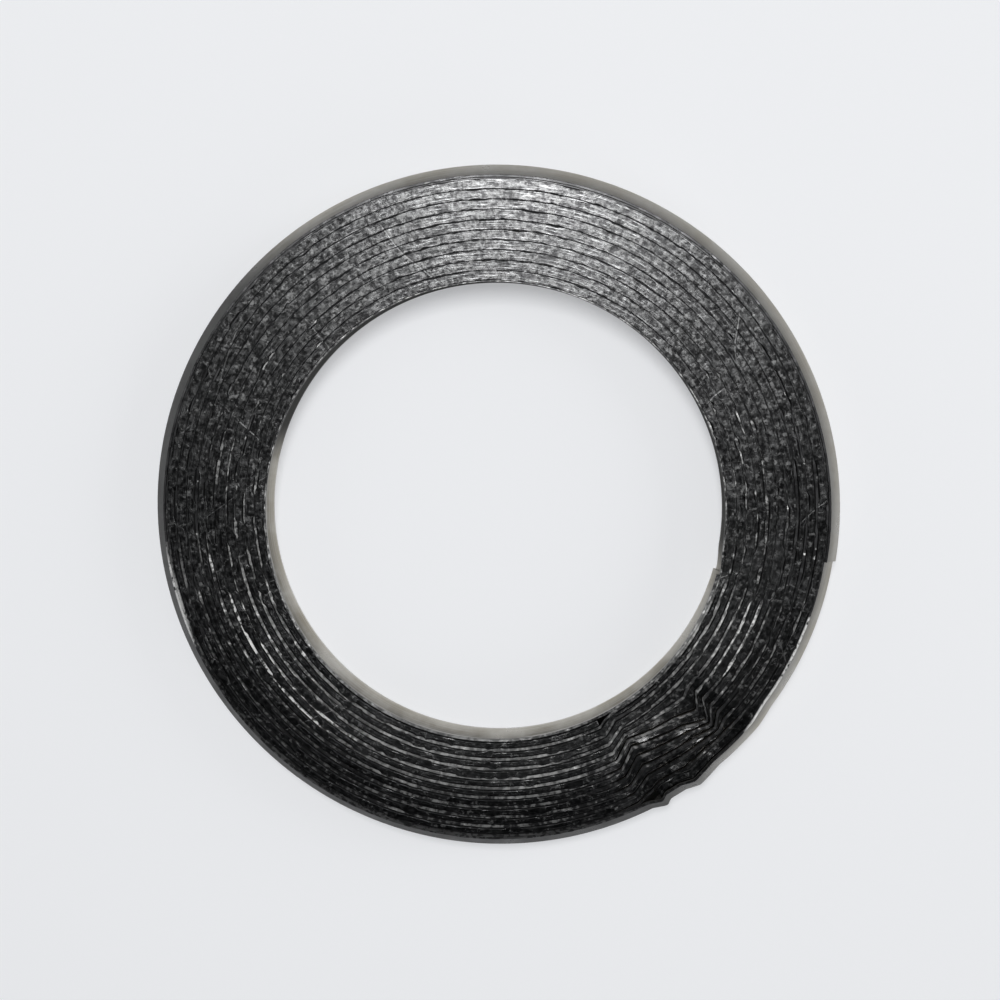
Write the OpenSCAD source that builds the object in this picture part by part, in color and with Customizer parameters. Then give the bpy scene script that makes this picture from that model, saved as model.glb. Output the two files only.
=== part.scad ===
// Spiral-wound exhaust gasket: a V-formed steel strip and a graphite tape, wound together into a flat ring.
// The origin is the centre of the bore on the lower sealing face, and +Z runs along the bore.
// Angles are counter-clockwise from +X, seen from above. The strip winds outwards clockwise.
// Each turn keeps one radius round the sound part of the ring, and steps out to the next in the rucked sector.

/* [Ring] */
// Bore diameter, at the lips of the innermost wrap
bore_d = 40; // [24:0.5:56]
// Thickness over the two graphite faces
thickness = 4.5; // [3.6:0.1:7.2]
// Turns of strip that carry graphite between them
filled_turns = 10; // [8:1:16]

/* [Steel strip] */
// Thickness of the strip, along the radius
strip_t = 0.2; // [0.12:0.01:0.3]
// How far the strip's edges lie below the graphite faces
edge_inset = 0.1; // [0.06:0.01:0.25]
// Height of the straight lip along each edge
lip_h = 0.5; // [0.4:0.05:0.8]
// Depth of the V, from the lips to its crest
v_depth = 1; // [0.4:0.05:1.4]
// Height of the blunt crest of the V
crest_h = 0.5; // [0.2:0.05:0.8]
// Air between plain wraps that lie steel on steel
wrap_gap = 0.03; // [0.03:0.005:0.06]
// Angle of the strip's inner end
start_angle = 345; // [338:1:350]
// Angle of the strip's outer end
end_angle = 352; // [338:1:356]
// Angle over which the strip climbs onto its own inner end
start_climb = 5; // [3:0.5:8]
// Angle left open between the inner end and that climb
start_clear = 1; // [0.6:0.1:2]
// Angle over which the outer wrap rises from the last turn, past the ruck
rim_rise = 4; // [3:0.5:6]

/* [Graphite tape] */
// Space for the tape between two turns of strip
tape_space = 0.66; // [0.4:0.02:0.9]
// Air between the tape and the strip on each side
tape_gap = 0.02; // [0.015:0.005:0.03]
// Thinnest space that the tape is crushed into, in the ruck
tape_crushed = 0.26; // [0.2:0.02:0.34]
// How far the tape has crumbled away below the upper face, in the ruck
crumble = 0.4; // [0:0.05:0.45]

/* [Ruck] */
// Angle at which the rucked sector begins
ruck_from = 289; // [272:1:292]
// Angle from there to the slip, where the turns step inwards
slip_at = 7.5; // [6:0.5:8]
// Angle over which they slip
slip_w = 4; // [3:0.5:5]
// Angle over which they then rise, ever more steeply, to the fold
rise_w = 15.5; // [12:0.5:16]
// Angle over which the fold brings them back
fold_w = 2.5; // [2:0.5:4]
// Plain angle from the fold to the end of the sector
ruck_tail = 2.5; // [2:0.5:4]
// How far the torn teeth of the rim stand out
tooth_h = 0.4; // [0.2:0.05:0.6]
// Angle over which a tooth rises
tooth_rise = 2.5; // [1.5:0.1:3]
// Angle over which the first tooth falls away
tooth_drop = 1; // [0.8:0.1:2]
// Angle from the first torn tooth to the second
tooth_pitch = 6.5; // [5:0.5:6.5]
// Innermost turn that is kinked
first_kinked = 3; // [1:1:4]
// How much faster the kinks grow, turn by turn, than they die out
kink_growth = 2; // [1:1:3]

/* [Hidden] */
$fn = 180;

// Angle by which a rucked stretch laps into the sound stretch at each end
lap = 0.3;
// How far the skin of a rucked stretch lies inside that of the sound stretch it laps into
seam = 0.004;

bore_r = bore_d / 2;
pitch = strip_t + tape_space;
plain_step = strip_t + wrap_gap;
tape_step = strip_t + tape_gap;
mid_z = thickness / 2;
flank_from = edge_inset + lip_h;

slip_from = ruck_from + slip_at;
slip_to = slip_from + slip_w;
fold_from = slip_to + rise_w;
fold_to = fold_from + fold_w;
ruck_to = fold_to + ruck_tail;
tooth_2 = slip_to + tooth_pitch;
rise_knee = (tooth_2 + fold_from) / 2;
rim_rise_to = ruck_to + rim_rise;

climb_from = start_angle - 360 + start_clear;
climb_to = climb_from + start_climb;
sound_from = ruck_to - 360;

// Angles at which the rucked stretches bend
stations = [
    ruck_from - lap,
    ruck_from + lap,
    (ruck_from + slip_from) / 2,
    slip_from,
    slip_to - tooth_rise,
    slip_to,
    slip_to + tooth_drop,
    tooth_2 - tooth_rise,
    tooth_2,
    rise_knee,
    fold_from,
    fold_to,
    ruck_to - lap,
    ruck_to + lap
];

// Shares of a turn's kink: a little inwards at the slip, slowly and then steeply outwards to the fold, and back
kink_shares = [[slip_from, 0], [slip_to, -0.3], [rise_knee, 0.35], [fold_from, 1], [fold_to, 0]];
// Share of the step from a turn to the next one out that the strip has made, which it makes in the slip
slip_shares = [[slip_from, 1], [slip_to, 0]];
// Shares of a tooth's height: the first falls away at once and the second slowly
tooth_shares = [
    [slip_to - tooth_rise, 0],
    [slip_to, 1],
    [slip_to + tooth_drop, 0],
    [tooth_2 - tooth_rise, 0],
    [tooth_2, 1],
    [rise_knee, 0]
];
// Turns from the rim inwards over which the teeth die out
toothed_turns = 2;

// Radius of the strip's inner face at its lips, on turn n
function level(n) = bore_r + n * pitch;

function shifted(path, step) = [for (p = path) [p[0], p[1] + step]];

function clamped(x, low, high) = min(max(x, low), high);

// Size of turn n's kink: it grows turn by turn from the first kinked one, and dies out towards the rim
function kink(n) =
    let (steps = min(kink_growth * (n - first_kinked) + 1, filled_turns - 1 - n))
    (tape_space - tape_crushed) * max(steps, 0);

// How far the teeth push turn n outwards at an angle
function tooth(n, a) =
    tooth_h * clamped(1 - (filled_turns - n) / toothed_turns, 0, 1) * lookup(a, tooth_shares);

// Path [angle, radius] of the strip's inner face as it steps from turn n to turn n + 1
function step_path(n) = [
    for (a = stations)
        let (r = level(n) + pitch * lookup(a, slip_shares) + kink(n) * lookup(a, kink_shares) + tooth(n, a))
            [a, max(r, bore_r + plain_step)]
];

// The outer wrap rises from the last turn just past the ruck, and crosses the ruck with its teeth
function rim_path() = [
    for (i = [0 : len(stations) - 2])
        [stations[i], level(filled_turns) + plain_step + tooth(filled_turns, stations[i])],
    [rim_rise_to - lap, level(filled_turns)],
    [rim_rise_to + lap, level(filled_turns)]
];

function climb_path() = [
    [climb_from - lap, bore_r + plain_step],
    [climb_from + lap, bore_r + plain_step],
    [climb_to - lap, bore_r],
    [climb_to + lap, bore_r]
];

// Points [height, rise] along the V, between a lower edge and an upper edge
function v_outline(low, high) = [
    [low, 0],
    [flank_from, 0],
    [mid_z - crest_h / 2, v_depth],
    [mid_z + crest_h / 2, v_depth],
    [thickness - flank_from, 0],
    [high, 0]
];

strip_outline = v_outline(edge_inset, thickness - edge_inset);
tape_outline = v_outline(0, thickness);

module v_section(r_in, r_out, outline) {
    inner = [for (p = outline) [r_in + p[1], p[0]]];
    outer = [for (i = [len(outline) - 1 : -1 : 0]) [r_out + outline[i][1], outline[i][0]]];
    polygon(concat(inner, outer));
}

// A stretch of constant radius, turned about the bore
module sound_run(r_in, r_out, outline, from, to) {
    rotate_extrude(angle = to - from, start = from)
        v_section(r_in, r_out, outline);
}

function on_path(station, point) = [
    (station[1] + point[1]) * cos(station[0]),
    (station[1] + point[1]) * sin(station[0]),
    point[0]
];

// A stretch between two paths [angle, radius], with one V outline for each station along them.
// Its two sides are split along like diagonals, so that stretches that lie together stay parallel.
module rucked_run(inner, outer, outlines) {
    last = len(inner) - 1;
    side = len(outlines[0]);
    ring = 2 * side;
    points = [
        for (k = [0 : last]) each concat(
            [for (j = [0 : side - 1]) on_path(inner[k], outlines[k][j])],
            [for (j = [side - 1 : -1 : 0]) on_path(outer[k], outlines[k][j])]
        )
    ];
    skin = [
        for (k = [0 : last - 1], j = [0 : ring - 1])
            let (
                a = k * ring + j,
                b = k * ring + (j + 1) % ring,
                c = b + ring,
                d = a + ring
            ) each j < side ? [[a, d, c], [a, c, b]] : [[a, d, b], [d, c, b]]
    ];
    first_cap = [
        for (j = [0 : side - 2])
            each [[j, j + 1, ring - 2 - j], [j, ring - 2 - j, ring - 1 - j]]
    ];
    last_cap = [for (f = first_cap) [for (i = [2 : -1 : 0]) last * ring + f[i]]];
    polyhedron(points, concat(skin, first_cap, last_cap));
}

module rucked_strip(path) {
    outline = v_outline(edge_inset + seam, thickness - edge_inset - seam);
    rucked_run(
        shifted(path, seam),
        shifted(path, strip_t - seam),
        [for (p = path) outline]
    );
}

// Tape between two paths that give its own faces; lost is how far its top has crumbled away from slip to fold
module rucked_tape(inner, outer, lost = 0) {
    rucked_run(
        shifted(inner, seam),
        shifted(outer, -seam),
        [
            for (p = inner)
                v_outline(seam, thickness - seam - (p[0] < slip_from || p[0] > fold_to ? 0 : lost))
        ]
    );
}

// Steel strip: an inner plain wrap, the filled turns, and an outer plain wrap, in one length
module steel_strip() color("#8c887f") {
    sound_run(bore_r, bore_r + strip_t, strip_outline, climb_to, start_angle);
    rucked_strip(climb_path());
    over_r = bore_r + plain_step;
    sound_run(over_r, over_r + strip_t, strip_outline, sound_from, climb_from);
    for (n = [0 : filled_turns - 1]) rucked_strip(step_path(n));
    rotate_extrude(angle = ruck_from - sound_from, start = sound_from)
        for (n = [1 : filled_turns - 1]) v_section(level(n), level(n) + strip_t, strip_outline);
    last_r = level(filled_turns);
    sound_run(last_r, last_r + strip_t, strip_outline, rim_rise_to - 360, ruck_from);
    rucked_strip(rim_path());
    plain_r = last_r + plain_step;
    sound_run(plain_r, plain_r + strip_t, strip_outline, end_angle - 360, ruck_from);
}

// Graphite tape: one length that fills the space between the turns of strip
module graphite_tape() color("#2b2b2d") {
    start_path = [
        for (p = shifted(step_path(0), -tape_gap))
            if (p[1] - bore_r - tape_step >= tape_crushed) p
    ];
    rucked_tape([for (p = start_path) [p[0], bore_r + tape_step]], start_path);
    first_out = level(1) - tape_gap;
    sound_run(bore_r + tape_step, first_out, tape_outline, climb_to, ruck_from);
    rucked_tape(shifted(climb_path(), tape_step), [for (p = climb_path()) [p[0], first_out]]);
    sound_run(bore_r + plain_step + tape_step, first_out, tape_outline, sound_from, climb_from);
    for (n = [0 : filled_turns - 2])
        rucked_tape(
            shifted(step_path(n), tape_step),
            shifted(step_path(n + 1), -tape_gap),
            n < first_kinked ? 0 : crumble
        );
    rotate_extrude(angle = ruck_from - sound_from, start = sound_from)
        for (n = [1 : filled_turns - 2])
            v_section(level(n) + tape_step, level(n + 1) - tape_gap, tape_outline);
    sound_run(
        level(filled_turns - 1) + tape_step,
        level(filled_turns) - tape_gap,
        tape_outline,
        rim_rise_to - 360,
        ruck_from
    );
    last_step = step_path(filled_turns - 1);
    end_path = [
        for (p = shifted(rim_path(), -tape_gap))
            if (p[1] - lookup(p[0], last_step) - tape_step >= tape_crushed) p
    ];
    rucked_tape([for (p = end_path) [p[0], lookup(p[0], last_step) + tape_step]], end_path, crumble);
}

steel_strip();
graphite_tape();
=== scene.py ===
import bpy
import numpy as np
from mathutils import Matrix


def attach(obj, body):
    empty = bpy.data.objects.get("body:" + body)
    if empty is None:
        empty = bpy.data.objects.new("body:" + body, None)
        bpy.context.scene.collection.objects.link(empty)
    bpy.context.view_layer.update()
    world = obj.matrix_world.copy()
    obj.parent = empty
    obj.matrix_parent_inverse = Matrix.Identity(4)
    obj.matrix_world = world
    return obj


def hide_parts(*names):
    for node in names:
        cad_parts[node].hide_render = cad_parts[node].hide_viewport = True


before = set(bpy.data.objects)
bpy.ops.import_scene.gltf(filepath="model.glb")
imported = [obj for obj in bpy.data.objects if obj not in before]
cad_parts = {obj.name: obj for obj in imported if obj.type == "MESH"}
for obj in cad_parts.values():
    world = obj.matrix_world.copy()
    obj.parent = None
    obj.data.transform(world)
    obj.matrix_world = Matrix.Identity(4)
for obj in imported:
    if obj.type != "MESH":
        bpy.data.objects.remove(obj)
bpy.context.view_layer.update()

# Steel strip
# One length of thin stainless strip, rolled to a V section and wound outwards, clockwise seen from above.
# It begins as a plain wrap round the bore, carries graphite between its turns, and ends as a plain wrap.
MM = 0.001
FULL_TURN = 360.0
BORE_RADIUS = 20.0
THICKNESS = 4.5
STRIP_T = 0.2
EDGE_INSET = 0.1
LIP_H = 0.5
V_DEPTH = 1.0
CREST_H = 0.5
EDGE_ROUND = 0.03
PLAIN_STEP = 0.23
PITCH = 0.86
FILLED_TURNS = 10
INNER_END = 345.0
OUTER_END_TURNED = 4313.0
CLIMB = (354.0, 359.0)
STEP_TURNED = 705.0
RIM_RISE = 4.0

# The ruck: where the turns slip inwards, rise to a fold and fall back, and the rim is torn into two teeth
RUCK_FROM, RUCK_TO = 289.0, 321.0
SLIP_FROM, SLIP_TO = 296.5, 300.5
RISE_KNEE = 311.5
FOLD_FROM, FOLD_TO = 316.0, 318.5
TOOTH_1_FROM, TOOTH_1_LOW = 298.0, 301.5
TOOTH_2_FROM, TOOTH_2 = 304.5, 307.0
TOOTH_H = 0.4
TOOTHED_TURNS = 2.0
KINK_STEP = 0.4
KINK_GROWTH = 2
FIRST_KINKED = 3
SLIP_KINK, KNEE_KINK = -0.3, 0.35

# How the winding is eased and loosened, and the degrees turned between which it is loose
PATH_STEP = 0.1
EASING_REACH = 15
BEND_ROUNDING = 0.18
LOOSE_BY = 0.022
LOOSE_SPACING = 41.0
LOOSE_TURNED = (400.0, 800.0, 3250.0, 3600.0)

# Sections along the winding: in each turn, so many across the ruck and so many round the rest
RUCK_TURNED_FROM, RUCK_TURNED_TO = 20.0, 57.0
STRIP_IN_RUCK, STRIP_IN_SOUND = 120, 395
END_CLEAR = 0.2
SPARE_TURNS = 4

# Wear of the upper edge: how wide it is pressed, and how far it is worn up and down
PRESSED_TURNED = (400.0, 430.0, 3600.0, 3640.0)
EDGE_SPREAD, PLAIN_SPREAD = 0.042, 0.01
SPREAD_VARIES = 0.5
NICKS, WAVES, WORN_DOWN = 0.018, 0.014, 0.02


def level(turn):
    """Radius of the strip's inner face on a turn: the bore radius plus one pitch for each turn inside it."""
    return BORE_RADIUS + PITCH * turn


def tooth(turn, angle):
    """How far the rim's teeth push a turn outwards.

    It is the full height at the rim, and less for each turn inside it. The first tooth rises and falls away
    at once, and the second falls slowly.
    """
    bends = [TOOTH_1_FROM, SLIP_TO, TOOTH_1_LOW, TOOTH_2_FROM, TOOTH_2, RISE_KNEE]
    share = np.interp(angle, bends, [0.0, 1.0, 0.0, 0.0, 1.0, 0.0])
    return TOOTH_H * np.clip(1 - (FILLED_TURNS - turn) / TOOTHED_TURNS, 0, 1) * share


def step_radii(turn, angle):
    """Radius of the strip as it steps from one turn to the next through the ruck.

    It is the turn's level, plus one pitch that is spent in the slip, plus a share of the turn's kink, plus
    the teeth. The kink grows turn by turn from the first kinked one and dies out towards the rim. It bends a
    little inwards at the slip, then slowly and steeply outwards to the fold, and back.
    """
    slip_share = np.interp(angle, [SLIP_FROM, SLIP_TO], [1.0, 0.0])
    kink_bends = [SLIP_FROM, SLIP_TO, RISE_KNEE, FOLD_FROM, FOLD_TO]
    kink_share = np.interp(angle, kink_bends, [0.0, SLIP_KINK, KNEE_KINK, 1.0, 0.0])
    steps = np.minimum(KINK_GROWTH * (turn - FIRST_KINKED) + 1, FILLED_TURNS - 1 - turn)
    kink = KINK_STEP * np.clip(steps, 0, None)
    radii = level(turn) + PITCH * slip_share + kink * kink_share + tooth(turn, angle)
    return np.maximum(radii, BORE_RADIUS + PLAIN_STEP)


def uneven(along, spacing, seed):
    """Smooth random values from -1 to 1: seeded knots at an even spacing, eased from one to the next."""
    place = (along - along.min()) / spacing
    knots = np.random.default_rng(seed).uniform(-1, 1, int(place.max()) + 2)
    left = place.astype(int)
    ease = place - left
    ease = ease * ease * (3 - 2 * ease)
    return knots[left] * (1 - ease) + knots[left + 1] * ease


def winding():
    """Degrees turned from the strip's inner end, and the radius of its inner face at each.

    The bore wrap keeps the bore radius, climbs on its own end, and then each turn keeps its level round the
    sound part of the ring and steps to the next through the ruck. The outer wrap rises past the ruck and
    keeps one plain step outside the last turn. A Gaussian average over a fraction of a degree rounds the
    bends, and a slow wander of a few hundredths loosens the inner turns.
    """
    bends = np.array([RUCK_TO, FOLD_TO, FOLD_FROM, RISE_KNEE, TOOTH_2, TOOTH_2_FROM, TOOTH_1_LOW, SLIP_TO,
                      TOOTH_1_FROM, SLIP_FROM, RUCK_FROM])
    turns = np.arange(FILLED_TURNS)[:, None]
    step_turned = STEP_TURNED - bends + FULL_TURN * turns
    step_r = step_radii(turns, bends)
    last_turned = step_turned[-1] + FULL_TURN
    rim_r = level(FILLED_TURNS) + PLAIN_STEP + tooth(FILLED_TURNS, bends)
    turned = np.concatenate([[0.0], CLIMB, step_turned.ravel(), [last_turned[0] - RIM_RISE], last_turned,
                             [OUTER_END_TURNED]])
    radius = np.concatenate([[BORE_RADIUS, BORE_RADIUS, BORE_RADIUS + PLAIN_STEP], step_r.ravel(),
                             [level(FILLED_TURNS)], rim_r, [rim_r[-1]]])
    fine = np.arange(0.0, OUTER_END_TURNED + PATH_STEP / 2, PATH_STEP)
    reach = np.arange(-EASING_REACH, EASING_REACH + 1)
    weight = np.exp(-0.5 * (reach * PATH_STEP / BEND_ROUNDING) ** 2)
    padded = np.pad(np.interp(fine, turned, radius), EASING_REACH, mode="edge")
    smooth = np.convolve(padded, weight / weight.sum(), mode="valid")
    loose = np.interp(fine, LOOSE_TURNED, [0.0, 1.0, 1.0, 0.0])
    return fine, smooth + LOOSE_BY * loose * uneven(fine, LOOSE_SPACING, seed=3)


path_turned, path_radius = winding()


def stations(first, last, in_ruck, in_sound):
    """Degrees turned at which sections stand: closer across the ruck of each turn than round the rest."""
    ruck = np.linspace(RUCK_TURNED_FROM, RUCK_TURNED_TO, in_ruck, endpoint=False)
    sound = np.linspace(RUCK_TURNED_TO, RUCK_TURNED_FROM + FULL_TURN, in_sound, endpoint=False)
    turns = np.arange(-1, FILLED_TURNS + SPARE_TURNS)[:, None]
    every = (np.concatenate([ruck, sound]) + FULL_TURN * turns).ravel()
    inside = every[(every > first + END_CLEAR) & (every < last - END_CLEAR)]
    return np.concatenate([[first], inside, [last]])


def wound_mesh(name, turned, radii, heights, across, flat_sides=()):
    """A closed section carried along the winding.

    Row k of radii and heights is the section after so many degrees turned. Its points lie at the angle of
    the inner end less those degrees. Quads join each section to the next, and a flat face closes each end.
    The sides that follow the points in flat_sides are shaded flat. The mesh keeps the length wound so far in
    the attribute along, and 0 at the section's inner side to 1 at its outer in across.
    """
    count, ring = radii.shape
    angle = np.radians(INNER_END - turned)[:, None]
    points = np.stack([radii * np.cos(angle), radii * np.sin(angle), heights], axis=-1).reshape(-1, 3)
    first = (np.arange(count - 1)[:, None] * ring + np.arange(ring)).ravel()
    second = (np.arange(count - 1)[:, None] * ring + (np.arange(ring) + 1) % ring).ravel()
    quads = np.stack([first, first + ring, second + ring, second], axis=1)
    ends = [list(range(ring)), list(range((count - 1) * ring, count * ring))[::-1]]
    mesh = bpy.data.meshes.new(name)
    mesh.from_pydata((points * MM).tolist(), [], quads.tolist() + ends)
    smooth = np.ones((count - 1, ring), bool)
    smooth[:, list(flat_sides)] = False
    mesh.polygons.foreach_set("use_smooth", np.append(smooth.ravel(), [False, False]))
    middle = radii.mean(axis=1)
    steps = np.radians(np.diff(turned)) * (middle[1:] + middle[:-1]) / 2
    along = np.concatenate([[0.0], np.cumsum(steps)])
    mesh.attributes.new("along", "FLOAT", "POINT").data.foreach_set("value", np.repeat(along, ring))
    mesh.attributes.new("across", "FLOAT", "POINT").data.foreach_set("value", np.tile(across, count))
    piece = bpy.data.objects.new(name, mesh)
    bpy.context.collection.objects.link(piece)
    return piece


def strip_section():
    """Outline of the strip: a V between two upright lips, as offsets from its inner face and heights.

    It goes up the inner side and down the outer one. Each slit edge is flat, with its corners worn off. Also
    given are each point's share across, the way in which pressing spreads it (-1 inwards, 1 outwards, 0 not
    at all), and the points after which the three sides of the upper edge follow.
    """
    low, high = EDGE_INSET, THICKNESS - EDGE_INSET
    middle = THICKNESS / 2
    side = np.array([
        [0.0, low + EDGE_ROUND],
        [0.0, low + LIP_H],
        [V_DEPTH, middle - CREST_H / 2],
        [V_DEPTH, middle + CREST_H / 2],
        [0.0, high - LIP_H],
        [0.0, high - EDGE_ROUND],
    ])
    corners = np.array([EDGE_ROUND, STRIP_T - EDGE_ROUND])
    upper = np.stack([corners, np.full(2, high)], axis=1)
    lower = np.stack([corners[::-1], np.full(2, low)], axis=1)
    outline = np.concatenate([side, upper, side[::-1] + [STRIP_T, 0.0], lower])
    count = len(side)
    edge_share = corners / STRIP_T
    share = np.concatenate([np.zeros(count), edge_share, np.ones(count), edge_share[::-1]])
    spread = np.zeros(len(outline))
    spread[count - 1:count + 1] = -1.0
    spread[count + 1:count + 3] = 1.0
    return outline, share, spread, range(count - 1, count + 2)


def steel_strip():
    """The V section carried along the winding, with its upper edge worn by hundredths of a millimetre.

    Between the layers of graphite that edge is also pressed a little wider.
    """
    turned = stations(0.0, OUTER_END_TURNED, STRIP_IN_RUCK, STRIP_IN_SOUND)
    outline, share, spread, edge_sides = strip_section()
    spreads = [PLAIN_SPREAD, EDGE_SPREAD, EDGE_SPREAD, PLAIN_SPREAD]
    pressed = np.interp(turned, PRESSED_TURNED, spreads)
    pressed = pressed * (1 + SPREAD_VARIES * uneven(turned, 0.9, seed=13))
    path = np.interp(turned, path_turned, path_radius)
    radii = path[:, None] + outline[:, 0] + pressed[:, None] * spread
    worn = NICKS * uneven(turned, 1.3, seed=11) + WAVES * uneven(turned, 5.0, seed=12) - WORN_DOWN
    is_top = outline[:, 1] > THICKNESS - EDGE_INSET - 2 * EDGE_ROUND
    heights = outline[:, 1] + worn[:, None] * is_top
    return wound_mesh("wound_steel_strip", turned, radii, heights, share, edge_sides)


def add(tree, kind, links=None, **values):
    """Put a node in a tree: links join its inputs to sockets, and values set its inputs or settings."""
    node = tree.nodes.new(kind)
    for key, value in values.items():
        label = key.replace("_", " ")
        if label in node.inputs:
            node.inputs[label].default_value = value
        else:
            setattr(node, key, value)
    for key, socket in (links or {}).items():
        tree.links.new(socket, node.inputs[key])
    return node


def calc(tree, operation, first, second=0.5, third=0.5):
    """A Math node: each of its operands is a socket or a number."""
    node = tree.nodes.new("ShaderNodeMath")
    node.operation = operation
    for slot, value in zip(node.inputs, (first, second, third)):
        if isinstance(value, bpy.types.NodeSocket):
            tree.links.new(value, slot)
        else:
            slot.default_value = value
    return node.outputs[0]


def times(tree, *factors):
    """The product of two or more sockets or numbers."""
    product = factors[0]
    for factor in factors[1:]:
        product = calc(tree, "MULTIPLY", product, factor)
    return product


def most(tree, first, second):
    """The greater of two sockets."""
    return calc(tree, "MAXIMUM", first, second)


def raised(tree, base, share, amount):
    """A base value plus an amount times a share."""
    return calc(tree, "MULTIPLY_ADD", share, amount, base)


def without(tree, mask):
    """The rest of a mask: 1 less the mask."""
    return calc(tree, "SUBTRACT", 1.0, mask)


def ramp(tree, value, low, high):
    """A smooth mask: 0 at or below low and 1 at or above high, and the reverse if low is the greater."""
    node = tree.nodes.new("ShaderNodeMapRange")
    node.interpolation_type = "SMOOTHSTEP"
    tree.links.new(value, node.inputs["Value"])
    node.inputs["From Min"].default_value = min(low, high)
    node.inputs["From Max"].default_value = max(low, high)
    node.inputs["To Min"].default_value = 0.0 if low < high else 1.0
    node.inputs["To Max"].default_value = 1.0 if low < high else 0.0
    return node.outputs["Result"]


def blend(tree, share, first, second):
    """A colour between two: each is a socket or a colour, and share is 0 for the first, 1 for the second."""
    node = tree.nodes.new("ShaderNodeMix")
    node.data_type = "RGBA"
    tree.links.new(share, node.inputs["Factor"])
    for slot, value in zip((node.inputs[6], node.inputs[7]), (first, second)):
        if isinstance(value, bpy.types.NodeSocket):
            tree.links.new(value, slot)
        else:
            slot.default_value = (*value, 1.0)
    return node.outputs[2]


def towards(tree, position, way):
    """How far a point lies from the origin along one level direction."""
    node = add(tree, "ShaderNodeVectorMath", {0: position}, operation="DOT_PRODUCT")
    node.inputs[1].default_value = way
    return node.outputs["Value"]


RUCK_CENTRE = (0.0149, -0.0213, 0.0)


def ring_places(tree, position):
    """Sockets for a point's X, Y and height, its distance from the axis and its distance from the ruck."""
    x, y, height = add(tree, "ShaderNodeSeparateXYZ", {"Vector": position}).outputs
    flat = add(tree, "ShaderNodeCombineXYZ", {"X": x, "Y": y}).outputs[0]
    from_axis = add(tree, "ShaderNodeVectorMath", {0: flat}, operation="LENGTH").outputs["Value"]
    from_ruck = add(tree, "ShaderNodeVectorMath", {0: flat}, operation="DISTANCE")
    from_ruck.inputs[1].default_value = RUCK_CENTRE
    return x, y, height, from_axis, from_ruck.outputs["Value"]


def new_group(name, inputs, outputs):
    """An empty shader group with named inputs, each a socket type and a default, and named float outputs."""
    group = bpy.data.node_groups.new(name, "ShaderNodeTree")
    for label, (kind, default) in inputs.items():
        socket = group.interface.new_socket(label, in_out="INPUT", socket_type=kind)
        if default is not None:
            socket.default_value = default
    for label in outputs:
        group.interface.new_socket(label, in_out="OUTPUT", socket_type="NodeSocketFloat")
    return group, group.nodes.new("NodeGroupInput"), group.nodes.new("NodeGroupOutput")


def lengthways_group():
    """Marks that run with the winding: noise drawn out along the length, for dashes, streaks and lines."""
    group, given, result = new_group(
        "lengthways_marks",
        {
            "Along": ("NodeSocketFloat", None),
            "Across": ("NodeSocketFloat", None),
            "Length": ("NodeSocketFloat", 2.0),
            "Lines Across": ("NodeSocketFloat", 1.0),
            "Ragged": ("NodeSocketFloat", 0.5),
        },
        ["Marks"],
    )
    lengthways = calc(group, "DIVIDE", given.outputs["Along"], given.outputs["Length"])
    sideways = times(group, given.outputs["Across"], given.outputs["Lines Across"])
    spot = add(group, "ShaderNodeCombineXYZ", {"X": lengthways, "Y": sideways}).outputs[0]
    noise = add(group, "ShaderNodeTexNoise", {"Vector": spot, "Roughness": given.outputs["Ragged"]},
                Scale=1.0, Detail=3.0)
    group.links.new(noise.outputs[0], result.inputs["Marks"])
    return group


# Handling marks: how far a scratch wanders, and the levels between which scratches and rubs fade in
SCRATCH_WANDER = 0.003
SCRATCH_WIDTH = (0.0075, 0.002)
SCRATCH_KEPT = (0.46, 0.62)
RUB_LEVELS = (0.55, 0.70)


def handling_group():
    """Marks of handling that cross the turns: long faint scratches, broken off at both ends, and rubs."""
    group, given, result = new_group(
        "handling_marks",
        {"Position": ("NodeSocketVector", None), "Spread": ("NodeSocketFloat", 95.0)},
        ["Scratches", "Rubs"],
    )
    place = given.outputs["Position"]
    wander = add(group, "ShaderNodeTexNoise", {"Vector": place}, Scale=120.0, Detail=1.0)
    moved = add(group, "ShaderNodeMix", data_type="VECTOR", Factor=SCRATCH_WANDER)
    group.links.new(place, moved.inputs[4])
    group.links.new(wander.outputs["Color"], moved.inputs[5])
    cells = add(group, "ShaderNodeTexVoronoi", {"Vector": moved.outputs[1], "Scale": given.outputs["Spread"]},
                feature="DISTANCE_TO_EDGE", voronoi_dimensions="2D")
    line = ramp(group, cells.outputs["Distance"], *SCRATCH_WIDTH)
    patch = add(group, "ShaderNodeTexNoise", {"Vector": place}, Scale=230.0, Detail=2.0)
    kept = ramp(group, patch.outputs[0], *SCRATCH_KEPT)
    group.links.new(times(group, line, kept), result.inputs["Scratches"])
    rub = add(group, "ShaderNodeTexNoise", {"Vector": place}, Scale=2100.0, Detail=3.0, Roughness=0.6)
    group.links.new(ramp(group, rub.outputs[0], *RUB_LEVELS), result.inputs["Rubs"])
    return group


lengthways_marks = lengthways_group()
handling_marks = handling_group()


def marks_of(tree, group, links, **values):
    """Place a shared group in a material, with its inputs linked or set."""
    node = tree.nodes.new("ShaderNodeGroup")
    node.node_tree = group
    for label, socket in links.items():
        tree.links.new(socket, node.inputs[label])
    for label, value in values.items():
        node.inputs[label.replace("_", " ")].default_value = value
    return node


def new_material(name):
    """A material with its Principled shader, and the sockets along, across and position for its patterns."""
    material = bpy.data.materials.new(name)
    material.use_nodes = True
    tree = material.node_tree
    shader = next(n for n in tree.nodes if n.bl_idname == "ShaderNodeBsdfPrincipled")
    along = add(tree, "ShaderNodeAttribute", attribute_name="along").outputs["Fac"]
    across = add(tree, "ShaderNodeAttribute", attribute_name="across").outputs["Fac"]
    position = add(tree, "ShaderNodeTexCoord").outputs["Object"]
    return material, tree, shader, along, across, position


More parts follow.
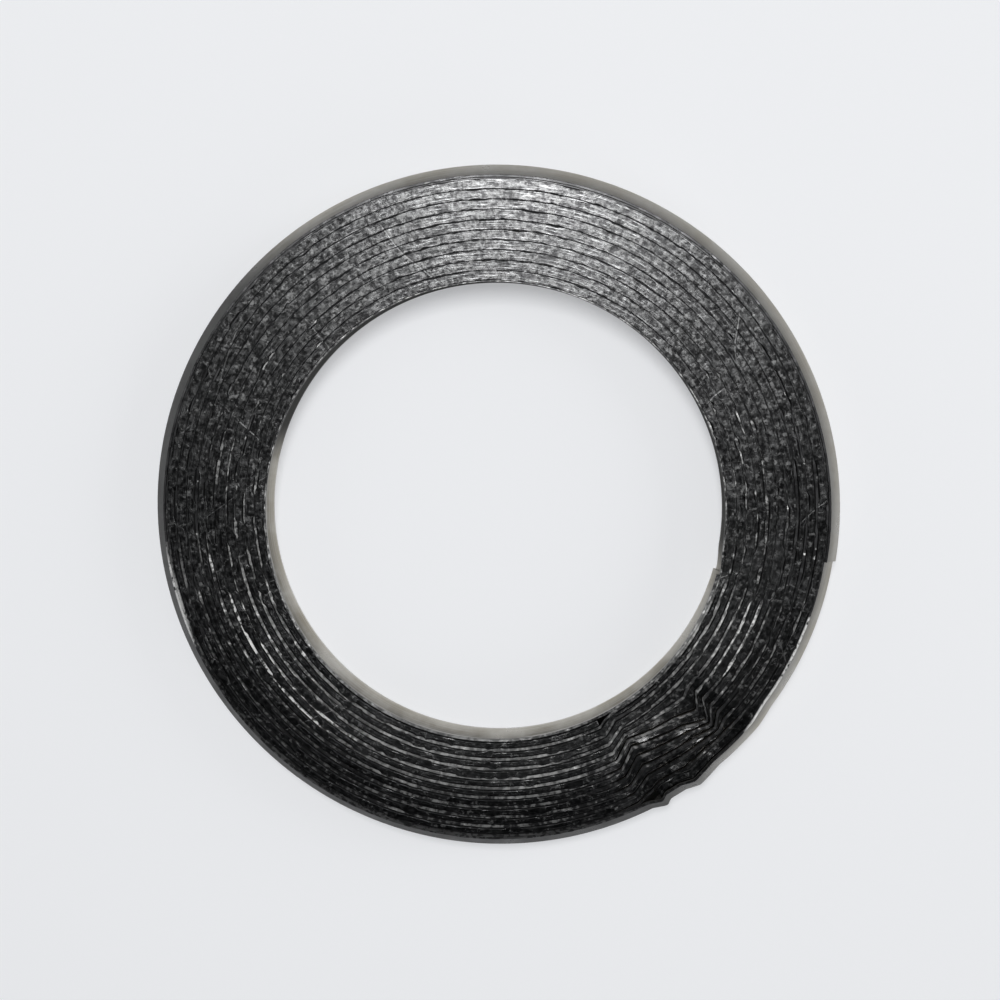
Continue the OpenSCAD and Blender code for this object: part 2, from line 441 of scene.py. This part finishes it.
# Colours of the strip
METAL = (0.50, 0.48, 0.43)
STAINED_METAL = (0.36, 0.33, 0.265)
ROLL_LINES = (0.58, 0.56, 0.52)
EDGE_METAL = (0.68, 0.68, 0.67)
# The graphite film's colour, also laid up the outer wall as painted shade
GRAPHITE_FILM_AND_SHADE = (0.042, 0.042, 0.043)
# A matt dark grey that paints shade on the lower left of the rim and on the far side of the bore
PAINTED_SHADE = (0.055, 0.055, 0.0535)

# Places on the strip, in metres, between which a mark fades in: heights, radii, and level directions
EDGE_HEIGHTS = (0.00427, 0.00435)
SPECK_HEIGHTS = (0.0039, 0.0043)
BORE_HEIGHTS = (0.0005, 0.0018)
# Heights between which painted shade rises up the outer wall towards its upper lip
RIM_SHADE_HEIGHTS = (0.0025, 0.0040)
BORE_RADII = (0.0218, 0.0212)
RIM_RADII = (0.02845, 0.02855)
WIPED_RADII = (0.0256, 0.0247)
CLEANER_RADII = (0.0222, 0.0236)
SMUDGED_RADII = (0.0235, 0.0265)
CLEAR_OF_RUCK = (0.0070, 0.0105)
NEAR_WAY, NEAR_BAND = (0.1, 1.0, 0.0), (-0.003, -0.007)
BARE_Y = (-0.0225, -0.0185)
LEFT_X = (-0.008, -0.015)
RIM_RIGHT_WAY, RIM_RIGHT = (0.883, -0.469, 0.0), (0.0281, 0.02845)
RIM_LEFT_WAY, RIM_LEFT = (-0.9636, -0.2672, 0.0), (0.0285, 0.02885)
# Level directions and bands of the painted shade on the lower left of the rim and on the far side of the bore
SHADED_RIM_WAY, SHADED_RIM_BAND = (-0.766, -0.643, 0.0), (-0.006, 0.006)
SHADED_BORE_WAY, SHADED_BORE_BAND = (0.25, 1.0, 0.0), (-0.0015, 0.003)

# Levels of noise between which a mark fades in
STAIN_LEVELS = (0.35, 0.65)
GRIME_LEVELS = (0.25, 0.6)
SPECK_LEVELS = (0.47, 0.58)
RUN_LEVELS = (0.46, 0.58)
ROLL_LEVELS = (0.4, 0.7)
BARE_LEVELS = (0.60, 0.70)
SMUDGE_LEVELS = (0.57, 0.43)
RIM_BARE_LEVELS = (0.36, 0.5)

# How strong each film is
BEADED, DASHED = 0.6, 0.4
WIPED_LEAST, WIPED_OUTWARDS = 0.10, 0.08
SMUDGE_LEAST, SMUDGE_OUTWARDS = 0.72, 0.3
SMUDGE_RUCK, SMUDGE_LEFT, SMUDGE_NEAR, SMUDGE_DOTTED = 0.21, 0.13, -0.3, 0.34
# The last of these sets how dark the painted shade up the outer wall is
RIM_FILM, RIM_LEFT_BARE, RIM_SHADE_DEPTH = 0.9, 0.75, 0.65
GRIME_LEAST, GRIME_STAINED = 0.38, 0.35
SPECK_FILM = 0.75
# How strong the painted shade on the walls is, and the weak shine of its matt non-metal
PAINTED_SHADE_SHARE = 0.96
PAINTED_SHADE_SHINE = 0.05
WALL_DULL, STAIN_DULL, EDGE_DULL, FILM_DULL = 0.27, 0.14, 0.17, -0.16
ROLL_RELIEF = 0.5


def rolled_steel():
    """Rolled stainless, dulled by heat: lines from the rolls, beige stain, and graphite rubbed on its edges.

    The edges carry a film of graphite, thinner where runs and beads of noise lay the metal bare. The walls
    carry grime in the bore, painted shade up the outer wall towards its upper lip, and a matt painted shade
    on the lower left of the rim and the far side of the bore.
    """
    material, tree, shader, along, across, position = new_material("rolled_steel")
    x, y, height, from_axis, from_ruck = ring_places(tree, position)
    wound = {"Along": along, "Across": across}
    upright = {"Along": along, "Across": height}
    runs = marks_of(tree, lengthways_marks, wound, Length=13.0, Lines_Across=0.3).outputs["Marks"]
    dashes = marks_of(tree, lengthways_marks, wound, Length=1.6, Lines_Across=0.7).outputs["Marks"]
    beads = marks_of(tree, lengthways_marks, wound, Length=0.42, Lines_Across=0.6).outputs["Marks"]
    rolls = marks_of(tree, lengthways_marks, upright, Length=9.0, Lines_Across=26000.0).outputs["Marks"]
    handling = marks_of(tree, handling_marks, {"Position": position})
    stains = add(tree, "ShaderNodeTexNoise", {"Vector": position}, Scale=240.0, Detail=4.0, Roughness=0.6)
    specks = add(tree, "ShaderNodeTexNoise", {"Vector": position}, Scale=3600.0, Detail=3.0)
    stain = ramp(tree, stains.outputs[0], *STAIN_LEVELS)
    on_edge = ramp(tree, height, *EDGE_HEIGHTS)
    on_walls = without(tree, on_edge)
    at_rim = ramp(tree, from_axis, *RIM_RADII)
    at_bore = ramp(tree, from_axis, *BORE_RADII)
    clear_of_ruck = ramp(tree, from_ruck, *CLEAR_OF_RUCK)

    near_band = ramp(tree, towards(tree, position, NEAR_WAY), *NEAR_BAND)
    bare_band = times(tree, near_band, ramp(tree, y, *BARE_Y))
    wipeable = times(tree, bare_band, clear_of_ruck, ramp(tree, from_axis, *WIPED_RADII))
    wiped = times(tree, wipeable, ramp(tree, runs, *RUN_LEVELS))
    dotted = raised(tree, times(tree, dashes, DASHED), beads, BEADED)
    wiped_by = raised(tree, WIPED_LEAST, ramp(tree, from_axis, *CLEANER_RADII), WIPED_OUTWARDS)
    cleaned = raised(tree, dotted, wiped, wiped_by)

    outwards = raised(tree, SMUDGE_LEAST, ramp(tree, from_axis, *SMUDGED_RADII), SMUDGE_OUTWARDS)
    by_ruck = raised(tree, calc(tree, "ADD", outwards, SMUDGE_RUCK), clear_of_ruck, -SMUDGE_RUCK)
    to_left = times(tree, ramp(tree, x, *LEFT_X), near_band)
    by_left = raised(tree, by_ruck, to_left, SMUDGE_LEFT)
    by_side = raised(tree, by_left, near_band, SMUDGE_NEAR)
    smudge = raised(tree, by_side, ramp(tree, dotted, *SMUDGE_LEVELS), SMUDGE_DOTTED)

    right_bare = ramp(tree, towards(tree, position, RIM_RIGHT_WAY), *RIM_RIGHT)
    left_bare = times(tree, ramp(tree, towards(tree, position, RIM_LEFT_WAY), *RIM_LEFT), RIM_LEFT_BARE)
    rim_bare = most(tree, right_bare, left_bare)
    rim_dull = calc(tree, "SUBTRACT", times(tree, at_rim, RIM_FILM), rim_bare)
    rim_bright = times(tree, at_rim, rim_bare, ramp(tree, dotted, *RIM_BARE_LEVELS))
    bright = most(tree, ramp(tree, cleaned, *BARE_LEVELS), rim_bright)
    smeared = times(tree, smudge, without(tree, bright))
    covered = times(tree, most(tree, smeared, rim_dull), on_edge)

    grime = raised(tree, GRIME_LEAST, ramp(tree, stains.outputs[0], *GRIME_LEVELS), GRIME_STAINED)
    bore_grime = times(tree, ramp(tree, height, *BORE_HEIGHTS), at_bore, grime)
    # Painted shade: the outer wall darkens from its crest up towards the upper lip
    rim_wall_painted_shade = times(tree, ramp(tree, height, *RIM_SHADE_HEIGHTS), at_rim, RIM_SHADE_DEPTH)
    speck_film = times(tree, ramp(tree, specks.outputs[0], *SPECK_LEVELS),
                       ramp(tree, height, *SPECK_HEIGHTS), SPECK_FILM)
    # The walls' film joins grime in the bore, graphite specks and the painted shade up the outer wall; the
    # film below adds the edges' graphite
    wall_film_and_shade = times(tree, most(tree, most(tree, bore_grime, rim_wall_painted_shade), speck_film), on_walls)
    film = most(tree, covered, wall_film_and_shade)
    # Painted shade: the lower left of the rim and the far side of the bore are darkened by where they lie
    rim_painted_shade = times(tree, ramp(tree, towards(tree, position, SHADED_RIM_WAY), *SHADED_RIM_BAND), at_rim)
    bore_painted_shade = times(tree, ramp(tree, towards(tree, position, SHADED_BORE_WAY), *SHADED_BORE_BAND), at_bore)
    painted_shade_mask = times(tree, most(tree, rim_painted_shade, bore_painted_shade), PAINTED_SHADE_SHARE, on_walls)

    metal = blend(tree, stain, METAL, STAINED_METAL)
    lined = blend(tree, ramp(tree, rolls, *ROLL_LEVELS), metal, ROLL_LINES)
    edged = blend(tree, on_edge, lined, EDGE_METAL)
    filmed_and_shaded = blend(tree, film, edged, GRAPHITE_FILM_AND_SHADE)
    tree.links.new(blend(tree, painted_shade_mask, filmed_and_shaded, PAINTED_SHADE), shader.inputs["Base Color"])
    # Where shade is painted, the metal turns to a matt non-metal
    tree.links.new(without(tree, painted_shade_mask), shader.inputs["Metallic"])
    shader.inputs["Specular IOR Level"].default_value = PAINTED_SHADE_SHINE
    dull = raised(tree, raised(tree, WALL_DULL, stain, STAIN_DULL), on_edge, EDGE_DULL)
    tree.links.new(raised(tree, dull, covered, FILM_DULL), shader.inputs["Roughness"])
    relief = calc(tree, "ADD", times(tree, rolls, ROLL_RELIEF), handling.outputs["Scratches"])
    bump = add(tree, "ShaderNodeBump", {"Height": relief}, Strength=0.25, Distance=0.00002)
    tree.links.new(bump.outputs[0], shader.inputs["Normal"])
    return material


strip = steel_strip()
strip.data.materials.append(rolled_steel())
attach(strip, "root")
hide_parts("steel_strip")

# Graphite tape
# One length of flexible graphite, wound in between the turns of strip and pressed level with the faces.
# Its edges are worn round, it is smeared over the steel in places, and in the ruck it has crumbled away.
TAPE_FROM, TAPE_TO = 48.5, 3644.5
TAPE_IN_RUCK, TAPE_IN_SOUND = 120, 400
TAPE_STEP = 0.22
TAPE_GAP = 0.02
CRUMBLE = 0.4
CRUMBLE_LATER = 3.5
TOP_BELOW = 0.012
TOP_UNEVEN = 0.008
RUCK_RAGGED = 8

# Smears over the steel: most on the far side of the ring, in slow patches with quick breaks
SMEAR = 0.112
RUB_MEAN, RUB_SWING, RUB_TURN = 2.2, 6.0, 6.0
SLOW_PATCHES, QUICK_BREAKS = 6, 2

# Worn edges of the top: how far it is cut back and down, and how far in each step of the rounding lies
EDGE_BACK = 0.045
LEAST_WEAR, EDGE_WEAR = 0.02, 0.035
LIP_DROP, SHOULDER_DROP = 0.012, 0.07
ROUND_IN, ROUND_MOST = 0.014, 0.3
TOP_IN, TOP_MOST = 0.05, 0.42
LOWER_CHAMFER = 0.05
SIDE_POINTS = 8
TOP_SHARE = 0.08


def crumbled(turned):
    """How far the tape's top is lost: the full crumble across the ruck, from the first kinked turn on."""
    angle = (INNER_END - turned) % FULL_TURN
    turn = np.floor((turned - RUCK_TURNED_FROM) / FULL_TURN)
    bends = [RUCK_FROM + CRUMBLE_LATER, SLIP_FROM, FOLD_TO, RUCK_TO]
    in_ruck = np.interp(angle, bends, [0.0, 1.0, 1.0, 0.0])
    return CRUMBLE * in_ruck * np.clip(turn - FIRST_KINKED, 0, 1)


def graphite_tape():
    """The tape's section, which fills the space between a turn of strip and the next one out.

    Its inner face stands one step off the strip, and its outer face a gap short of the strip one whole turn
    later. Both follow the V. The top is uneven by hundredths, rounded at its edges, and its two lips reach
    out over the steel wherever slow noise along the tape says that it is smeared.
    """
    turned = stations(TAPE_FROM, TAPE_TO, TAPE_IN_RUCK, TAPE_IN_SOUND)
    inner = np.interp(turned, path_turned, path_radius) + TAPE_STEP
    outer = np.interp(turned + FULL_TURN, path_turned, path_radius) - TAPE_GAP
    width = outer - inner
    lost = crumbled(turned)
    whole = 1 - lost / CRUMBLE
    top = THICKNESS - TOP_BELOW - lost
    ragged = 1 + RUCK_RAGGED * (1 - whole)
    top_in = top + TOP_UNEVEN * ragged * uneven(turned, 1.6, seed=21)
    top_out = top + TOP_UNEVEN * ragged * uneven(turned, 1.9, seed=22)
    rubbed = RUB_MEAN + RUB_SWING * np.sin(np.radians(INNER_END - turned + RUB_TURN))
    patches_in = SLOW_PATCHES * uneven(turned, 4.2, seed=23) + QUICK_BREAKS * uneven(turned, 1.1, seed=27)
    patches_out = SLOW_PATCHES * uneven(turned, 4.6, seed=24) + QUICK_BREAKS * uneven(turned, 1.2, seed=28)
    cover_in = whole * np.clip(patches_in + rubbed, 0, 1)
    cover_out = whole * np.clip(patches_out + rubbed, 0, 1)
    wear_in = (LEAST_WEAR + EDGE_WEAR * (1 + uneven(turned, 0.8, seed=25))) * (1 - cover_in)
    wear_out = (LEAST_WEAR + EDGE_WEAR * (1 + uneven(turned, 0.7, seed=26))) * (1 - cover_out)
    in_edge = inner + EDGE_BACK - (SMEAR + EDGE_BACK) * cover_in
    out_edge = outer - EDGE_BACK + (SMEAR + EDGE_BACK) * cover_out
    middle = THICKNESS / 2
    low_crest, high_crest = middle - CREST_H / 2, middle + CREST_H / 2
    flank = EDGE_INSET + LIP_H
    flat = np.zeros_like(turned)
    columns = [
        (inner, flat + LOWER_CHAMFER),
        (inner, flat + flank),
        (inner + V_DEPTH, flat + low_crest),
        (inner + V_DEPTH, flat + high_crest),
        (inner, flat + THICKNESS - flank),
        (inner, top_in - SHOULDER_DROP - wear_in),
        (in_edge, top_in - LIP_DROP - wear_in),
        (in_edge + np.minimum(ROUND_IN + wear_in, ROUND_MOST * width), top_in),
        (in_edge + np.minimum(TOP_IN + wear_in, TOP_MOST * width), top_in),
        (out_edge - np.minimum(TOP_IN + wear_out, TOP_MOST * width), top_out),
        (out_edge - np.minimum(ROUND_IN + wear_out, ROUND_MOST * width), top_out),
        (out_edge, top_out - LIP_DROP - wear_out),
        (outer, top_out - SHOULDER_DROP - wear_out),
        (outer, flat + THICKNESS - flank),
        (outer + V_DEPTH, flat + high_crest),
        (outer + V_DEPTH, flat + low_crest),
        (outer, flat + flank),
        (outer, flat + LOWER_CHAMFER),
        (inner + 0.5 * width, flat),
    ]
    radii = np.stack([c[0] for c in columns], axis=1)
    heights = np.stack([c[1] for c in columns], axis=1)
    sides = [[0.0] * SIDE_POINTS, [TOP_SHARE, 1 - TOP_SHARE], [1.0] * SIDE_POINTS, [0.5]]
    return wound_mesh("wound_graphite_tape", turned, radii, heights, np.concatenate(sides))


# Colours of the tape
BLACK, FLAKE = (0.018, 0.018, 0.0185), (0.078, 0.0785, 0.079)
STREAK = (0.125, 0.126, 0.127)
# Near black, painted as shade on the outer turns of the near side
NEAR_SHADE_BLACK = (0.010, 0.010, 0.0105)
# Pale grey for the haze on the inner turns of the near side and for the painted sheen on the right
HAZE_AND_SHEEN_GREY = (0.16, 0.16, 0.158)
PALE_RUB = (0.20, 0.201, 0.20)
FRAYED = (0.016, 0.016, 0.0165)

# Places on the tape, in metres, and levels of noise between which a mark fades in
# Where the painted shade of the near side begins
NEAR_SHADE_Y = (-0.007, -0.016)
OUTER_RADII = (0.0232, 0.0258)
# How far from the ruck the painted shade of the near side stays clear
NEAR_SHADE_CLEAR_OF_RUCK = (0.0045, 0.0105)
NEAR_HAZE_Y = (-0.0135, -0.0185)
# Where the painted sheen on the right begins
RIGHT_SHEEN_X, RIGHT_SHEEN_Y = (0.014, 0.020), (0.001, -0.004)
FLAKE_LEVELS = (0.4, 0.68)
STREAK_LEVELS = (0.5, 0.72)
PRESSED_LEVELS = (0.35, 0.65)
FRAYED_LEVELS = (0.40, 0.5)

# How strong each mark is
# How strong the painted shade of the near side is
NEAR_SHADE_SHARE = 0.5
# How strong the haze and the painted sheen are, and how much more sheen the inner turns take
HAZE_AND_SHEEN_SHARE = 0.22
RIGHT_SHEEN_LEAST, RIGHT_SHEEN_INNER = 0.2, 0.6
SCRATCH_SHARE, RUB_SHARE = 0.28, 0.4
FRAYING = 0.7
GRAIN_DULL, FLAKE_DULL, PRESSED_DULL, TORN_DULL = 0.15, 0.20, -0.04, 0.35


def flexible_graphite():
    """Flexible graphite: near black, pressed to a dull shine, with flakes, rubs, streaks and scratches.

    The outer turns of the near side are darkened as painted shade, a haze lies on the inner turns of the near
    side, a painted sheen lightens the right, and both edges of the tape are frayed to black.
    """
    material, tree, shader, along, across, position = new_material("flexible_graphite")
    shader.inputs["Metallic"].default_value = 1.0
    x, y, _, from_axis, from_ruck = ring_places(tree, position)
    wound = {"Along": along, "Across": across}
    streaks = marks_of(tree, lengthways_marks, wound, Length=1.8, Lines_Across=5.0, Ragged=0.65)
    fraying = marks_of(tree, lengthways_marks, wound, Length=1.3, Lines_Across=1.7)
    handling = marks_of(tree, handling_marks, {"Position": position})
    flakes = add(tree, "ShaderNodeTexNoise", {"Vector": position}, Scale=2400.0, Detail=3.0, Roughness=0.6)
    patches = add(tree, "ShaderNodeTexNoise", {"Vector": position}, Scale=300.0, Detail=3.0)
    mottled = ramp(tree, flakes.outputs[0], *FLAKE_LEVELS)
    streaked = ramp(tree, streaks.outputs["Marks"], *STREAK_LEVELS)
    pressed = ramp(tree, patches.outputs[0], *PRESSED_LEVELS)

    outer_turns = ramp(tree, from_axis, *OUTER_RADII)
    inner_turns = without(tree, outer_turns)
    clear_of_ruck = ramp(tree, from_ruck, *NEAR_SHADE_CLEAR_OF_RUCK)
    # Painted shade: the outer turns of the near side, which see little of the overhead panel, are darkened by
    # where they lie
    near_painted_shade = times(tree, ramp(tree, y, *NEAR_SHADE_Y), outer_turns, clear_of_ruck, NEAR_SHADE_SHARE)
    near_haze = times(tree, ramp(tree, y, *NEAR_HAZE_Y), inner_turns)
    # Painted sheen: the right side is lightened by where it lies, as the overhead highlight spreads there
    to_right = times(tree, ramp(tree, x, *RIGHT_SHEEN_X), ramp(tree, y, *RIGHT_SHEEN_Y))
    right_painted_sheen = times(tree, to_right, raised(tree, RIGHT_SHEEN_LEAST, inner_turns, RIGHT_SHEEN_INNER))
    haze_and_sheen = times(tree, most(tree, near_haze, right_painted_sheen), HAZE_AND_SHEEN_SHARE)
    scored = times(tree, handling.outputs["Scratches"], SCRATCH_SHARE)
    pale = most(tree, scored, times(tree, handling.outputs["Rubs"], RUB_SHARE))
    from_middle = calc(tree, "ABSOLUTE", calc(tree, "SUBTRACT", across, 0.5))
    strayed = calc(tree, "SUBTRACT", fraying.outputs["Marks"], 0.5)
    at_edge = ramp(tree, raised(tree, from_middle, strayed, FRAYING), *FRAYED_LEVELS)

    body = blend(tree, mottled, BLACK, FLAKE)
    scuffed = blend(tree, streaked, body, STREAK)
    with_near_shade = blend(tree, near_painted_shade, scuffed, NEAR_SHADE_BLACK)
    with_haze_and_sheen = blend(tree, haze_and_sheen, with_near_shade, HAZE_AND_SHEEN_GREY)
    rubbed = blend(tree, pale, with_haze_and_sheen, PALE_RUB)
    tree.links.new(blend(tree, at_edge, rubbed, FRAYED), shader.inputs["Base Color"])
    grain = raised(tree, GRAIN_DULL, flakes.outputs[0], FLAKE_DULL)
    smooth = raised(tree, grain, pressed, PRESSED_DULL)
    torn = most(tree, pale, at_edge)
    tree.links.new(raised(tree, smooth, torn, TORN_DULL), shader.inputs["Roughness"])
    relief = calc(tree, "ADD", flakes.outputs[0], streaks.outputs["Marks"])
    grooved = calc(tree, "SUBTRACT", relief, scored)
    bump = add(tree, "ShaderNodeBump", {"Height": grooved}, Strength=0.5, Distance=0.00003)
    tree.links.new(bump.outputs[0], shader.inputs["Normal"])
    return material


tape = graphite_tape()
tape.data.materials.append(flexible_graphite())
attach(tape, "root")
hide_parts("graphite_tape")

# Floor, light and camera
# A pale floor that glows a little where it is seen or mirrored, and keeps the ring's shadow. A soft panel
# overhead is mirrored on the far part of the ring and leaves the near part dark. Low fills stand around.
FLOOR_HALF = 2.0
FLOOR_BELOW = 0.00001
FLOOR_COLOUR = (0.50, 0.506, 0.518, 1.0)
FLOOR_GLOW = (0.84, 0.85, 0.87, 1.0)
GLOW_STRENGTH = 0.45
FLOOR_ROUGHNESS = 0.9
floor_mesh = bpy.data.meshes.new("pale_floor")
corners = np.array([[-1, -1], [1, -1], [1, 1], [-1, 1]]) * FLOOR_HALF
floor_mesh.from_pydata([(x, y, -FLOOR_BELOW) for x, y in corners], [], [(0, 1, 2, 3)])
floor = bpy.data.objects.new("pale_floor", floor_mesh)
bpy.context.collection.objects.link(floor)
paper = bpy.data.materials.new("pale_paper")
paper.use_nodes = True
paper_tree = paper.node_tree
paper_shader = next(n for n in paper_tree.nodes if n.bl_idname == "ShaderNodeBsdfPrincipled")
paper_shader.inputs["Base Color"].default_value = FLOOR_COLOUR
paper_shader.inputs["Emission Color"].default_value = FLOOR_GLOW
paper_shader.inputs["Roughness"].default_value = FLOOR_ROUGHNESS
ray = add(paper_tree, "ShaderNodeLightPath").outputs
mirrored = most(paper_tree, ray["Is Glossy Ray"], ray["Is Transmission Ray"])
looked_at = most(paper_tree, ray["Is Camera Ray"], mirrored)
paper_tree.links.new(times(paper_tree, looked_at, GLOW_STRENGTH), paper_shader.inputs["Emission Strength"])
floor_mesh.materials.append(paper)

PICTURE_UP = (0.0, 1.0, 0.0)


def frame_towards(place, target):
    """A placing matrix: its Z points from target to place, and its Y lies as near as can be to picture up."""
    away = np.asarray(place) - np.asarray(target)
    away = away / np.linalg.norm(away)
    right = np.cross(PICTURE_UP, away)
    right = right / np.linalg.norm(right)
    up = np.cross(away, right)
    matrix = np.eye(4)
    matrix[:3] = np.stack([right, up, away, np.asarray(place)], axis=1)
    return matrix


def soft_panel(name, place, width, depth, watts):
    """A square-cornered lamp that faces the middle of the ring."""
    data = bpy.data.lights.new(name, "AREA")
    data.shape = "RECTANGLE"
    data.size = width
    data.size_y = depth
    data.energy = watts
    lamp = bpy.data.objects.new(name, data)
    bpy.context.collection.objects.link(lamp)
    lamp.matrix_world = frame_towards(place, (0.0, 0.0, 0.0)).T.tolist()


soft_panel("overhead_panel", (-0.010, 0.15, 0.50), width=0.11, depth=0.20, watts=1.72)
soft_panel("broad_overhead", (0.01, 0.16, 0.54), width=0.62, depth=0.40, watts=0.245)
soft_panel("left_fill", (-0.42, 0.05, 0.20), width=0.30, depth=0.20, watts=0.15)
soft_panel("right_fill", (0.42, 0.12, 0.20), width=0.30, depth=0.20, watts=0.5)
soft_panel("front_fill", (0.30, -0.30, 0.16), width=0.30, depth=0.16, watts=0.25)

SKY_COLOUR = (0.9, 0.95, 1.0, 1.0)
SKY_STRENGTH = 0.08
world = bpy.data.worlds.new("soft_surround")
world.use_nodes = True
sky = next(n for n in world.node_tree.nodes if n.bl_idname == "ShaderNodeBackground")
sky.inputs["Color"].default_value = SKY_COLOUR
sky.inputs["Strength"].default_value = SKY_STRENGTH
bpy.context.scene.world = world

TILT, HEADING = 6.92, 63.0
DISTANCE = 0.1466
LENS = 60.0
CLIP_START = 0.005
AIM = np.array([0.00043, 0.00100, 0.00225])
tilt, heading = np.radians(TILT), np.radians(HEADING)
lean = np.array([np.sin(tilt) * np.cos(heading), np.sin(tilt) * np.sin(heading), np.cos(tilt)])
camera_data = bpy.data.cameras.new("photo_camera")
camera_data.lens = LENS
camera_data.clip_start = CLIP_START
camera = bpy.data.objects.new("photo_camera", camera_data)
bpy.context.collection.objects.link(camera)
camera.matrix_world = frame_towards(AIM + DISTANCE * lean, AIM).T.tolist()
bpy.context.scene.camera = camera
bpy.context.scene.view_settings.view_transform = "Standard"
